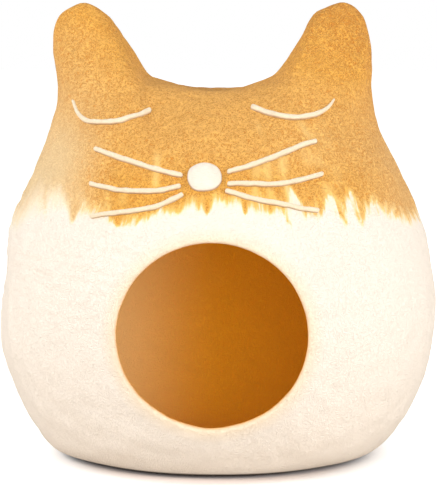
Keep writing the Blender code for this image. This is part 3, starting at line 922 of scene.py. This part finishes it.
def make_nose(shell, settings, material):
    """The nose: a pad whose rise at a share r of its width is (1 - r^2.4)^0.55, with an uneven rim.

    Its rim is a little squarer than an ellipse: |x|^n + |z|^n = 1 with n = NOSE_SQUARENESS.
    """
    turn = np.arange(NOSE_SPOKES) * 2 * np.pi / NOSE_SPOKES
    ring = np.linspace(0, 1, NOSE_RINGS + 1)[1:, None]
    around = np.stack([np.cos(turn), np.sin(turn)], axis=1)
    squarer = (np.abs(around) ** NOSE_SQUARENESS).sum(1) ** (-1 / NOSE_SQUARENESS)
    uneven = squarer * (1 + 0.02 * soft_noise(around, 1.1, 71))
    share = np.sin(ring * np.pi / 2)
    x = NOSE_X + NOSE_WIDTH / 2 * share * np.cos(turn) * uneven
    height = NOSE_HEIGHT + NOSE_RISE / 2 * share * np.sin(turn) * uneven
    on, out = shell.on_front(x, height)
    lift = settings.nose_rise * (1 - share**2.4) ** 0.55 * np.ones_like(x)
    lift += 0.0003 * soft_noise(on, 0.009, 72) * (1 - share**4)
    dome = on + out * lift[..., None]
    back = on[::-1] - out[::-1] * settings.strand_sink
    centre, centre_out = shell.on_front(np.array([NOSE_X]), np.array([NOSE_HEIGHT]))
    rings = np.concatenate([dome, back])
    points = np.concatenate([
        rings.reshape(-1, 3),
        centre + centre_out * settings.nose_rise,
        centre - centre_out * settings.strand_sink,
    ])
    uv = np.stack([points[:, 0], points[:, 2]], axis=1) * 140
    # painted shade round the nose's rim
    rim = eased(share, 0.93, 1.0) * np.ones_like(x)
    edge_shade = np.concatenate([rim.ravel(), rim[::-1].ravel(), [0, 1]])
    attributes = {"edge_shade": edge_shade, "pad": np.ones(len(points))}
    return make_piece("wool_nose", points, len(rings), material, attributes, uv)


def look_from(turn, rise, distance, target):
    """The place and the turn of a camera or lamp that looks at a target, turned and risen in degrees."""
    turn, rise = np.radians(turn), np.radians(rise)
    back = np.array([np.sin(turn) * np.cos(rise), -np.cos(turn) * np.cos(rise), np.sin(rise)])
    return np.asarray(target) + distance * back, (np.pi / 2 - rise, 0.0, turn)


def make_lamp(name, turn, rise, distance, size, power):
    """A soft square lamp that looks at the middle of the cave."""
    data = bpy.data.lights.new(name, "AREA")
    data.size = size
    data.energy = power
    lamp = linked(name, data)
    lamp.location, lamp.rotation_euler = look_from(turn, rise, distance, VIEW_TARGET)


def make_camera():
    """The camera, at the photograph's angle."""
    data = bpy.data.cameras.new("camera")
    data.sensor_width = SENSOR
    data.lens = SENSOR * VIEW_DISTANCE / VIEW_HEIGHT
    camera = linked("camera", data)
    camera.location, camera.rotation_euler = look_from(VIEW_TURN, VIEW_RISE, VIEW_DISTANCE, VIEW_TARGET)
    bpy.context.scene.camera = camera


def make_sky(power):
    """Even light from all round, before a plain white background."""
    world = bpy.data.worlds.new("studio")
    world.use_nodes = True
    tree = world.node_tree
    seen = put(tree, "LightPath").outputs["Is Camera Ray"]
    brightness = put(tree, "MapRange", {"Value": seen, "To Min": power, "To Max": 1.0})
    feed(tree, tree.nodes["Background"], {"Color": (*WHITE, 1), "Strength": brightness.outputs["Result"]})
    return world


def make_floor(colour, glow):
    """A large plain floor under the cave, which the camera sees turn white round the cave's shadow."""
    half = FLOOR_SIZE / 2
    mesh = bpy.data.meshes.new("floor")
    corners = [(x * half, y * half, 0) for x, y in ((-1, -1), (1, -1), (1, 1), (-1, 1))]
    mesh.from_pydata(corners, [], [(0, 1, 2, 3)])
    material = bpy.data.materials.new("floor_white")
    material.use_nodes = True
    tree = material.node_tree
    shader = tree.nodes["Principled BSDF"]
    seen = put(tree, "LightPath").outputs["Is Camera Ray"]
    place = stretched(tree, own_place(tree), FLOOR_STRETCH)
    away = put(tree, "VectorMath", {0: place}, operation="LENGTH").outputs["Value"]
    far = stepped(tree, away, *FLOOR_GLOW_ENDS, 0.0, glow)
    # painted shadow: the camera sees the floor tinted darker close to the cave, white further out
    shade = blended(tree, stepped(tree, away, *FLOOR_SHADE_ENDS), FLOOR_SHADE, WHITE)
    feed(tree, shader, {"Base Color": blended(tree, seen, colour, shade), "Roughness": 1.0})
    feed(tree, shader, {"Emission Color": (*WHITE, 1), "Emission Strength": times(tree, far, seen)})
    mesh.materials.append(material)
    linked("floor", mesh)


class FELTCAVE_OT_shell(bpy.types.Operator):
    """Makes the felt shell in place of its solid."""

    bl_idname = "feltcave.shell"
    bl_label = "Make Felt Shell"

    def execute(self, context):
        piece = make_shell(context.scene.felt_cave)
        return {"FINISHED"}


class FELTCAVE_OT_face(bpy.types.Operator):
    """Makes the nose, the eyes and the whiskers in place of their solids."""

    bl_idname = "feltcave.face"
    bl_label = "Make Face"

    def execute(self, context):
        settings = context.scene.felt_face
        shell = Shell(context.scene.felt_cave)
        material = strand_material(settings)
        nose = make_nose(shell, settings, material)
        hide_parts("nose")
        seed = STRAND_SEEDS
        for strands, tips in ((EYES, EYE_TIPS), (WHISKERS, WHISKER_TIPS)):
            for name, places in strands.items():
                piece = make_strand("wool_" + name, places, tips, seed, shell, settings, material)
                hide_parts(name)
                seed += 10
        return {"FINISHED"}


class FELTCAVE_OT_stage(bpy.types.Operator):
    """Makes the floor, the light and the camera."""

    bl_idname = "feltcave.stage"
    bl_label = "Make Stage"

    def execute(self, context):
        settings = context.scene.felt_stage
        scene = context.scene
        make_floor(settings.floor, settings.glow)
        make_lamp("left_lamp", *LEFT_LAMP, settings.left)
        make_lamp("right_lamp", *RIGHT_LAMP, settings.right)
        make_lamp("front_lamp", *FRONT_LAMP, settings.front)
        make_camera()
        scene.world = make_sky(settings.sky)
        scene.view_settings.view_transform = "Standard"
        return {"FINISHED"}


class FELTCAVE_PT_panel(bpy.types.Panel):
    """The sidebar panel with the settings and the buttons."""

    bl_idname = "FELTCAVE_PT_panel"
    bl_label = "Felt Cave"
    bl_space_type = "VIEW_3D"
    bl_region_type = "UI"
    bl_category = "Felt Cave"

    def draw(self, context):
        for group, operator in zip(SETTINGS, ("shell", "face", "stage")):
            settings = getattr(context.scene, group)
            box = self.layout.box()
            for name in settings.__annotations__:
                box.prop(settings, name)
            box.operator("feltcave." + operator)


SETTINGS = {"felt_cave": CaveSettings, "felt_face": FaceSettings, "felt_stage": StageSettings}
CLASSES = (*SETTINGS.values(), FELTCAVE_OT_shell, FELTCAVE_OT_face, FELTCAVE_OT_stage, FELTCAVE_PT_panel)


def register():
    for kind in CLASSES:
        bpy.utils.register_class(kind)
    for name, kind in SETTINGS.items():
        setattr(bpy.types.Scene, name, bpy.props.PointerProperty(type=kind))


def unregister():
    for name in SETTINGS:
        delattr(bpy.types.Scene, name)
    for kind in reversed(CLASSES):
        bpy.utils.unregister_class(kind)


def main():
    register()
    bpy.ops.feltcave.stage()
    bpy.ops.feltcave.shell()
    bpy.ops.feltcave.face()


if __name__ == "__main__":
    main()
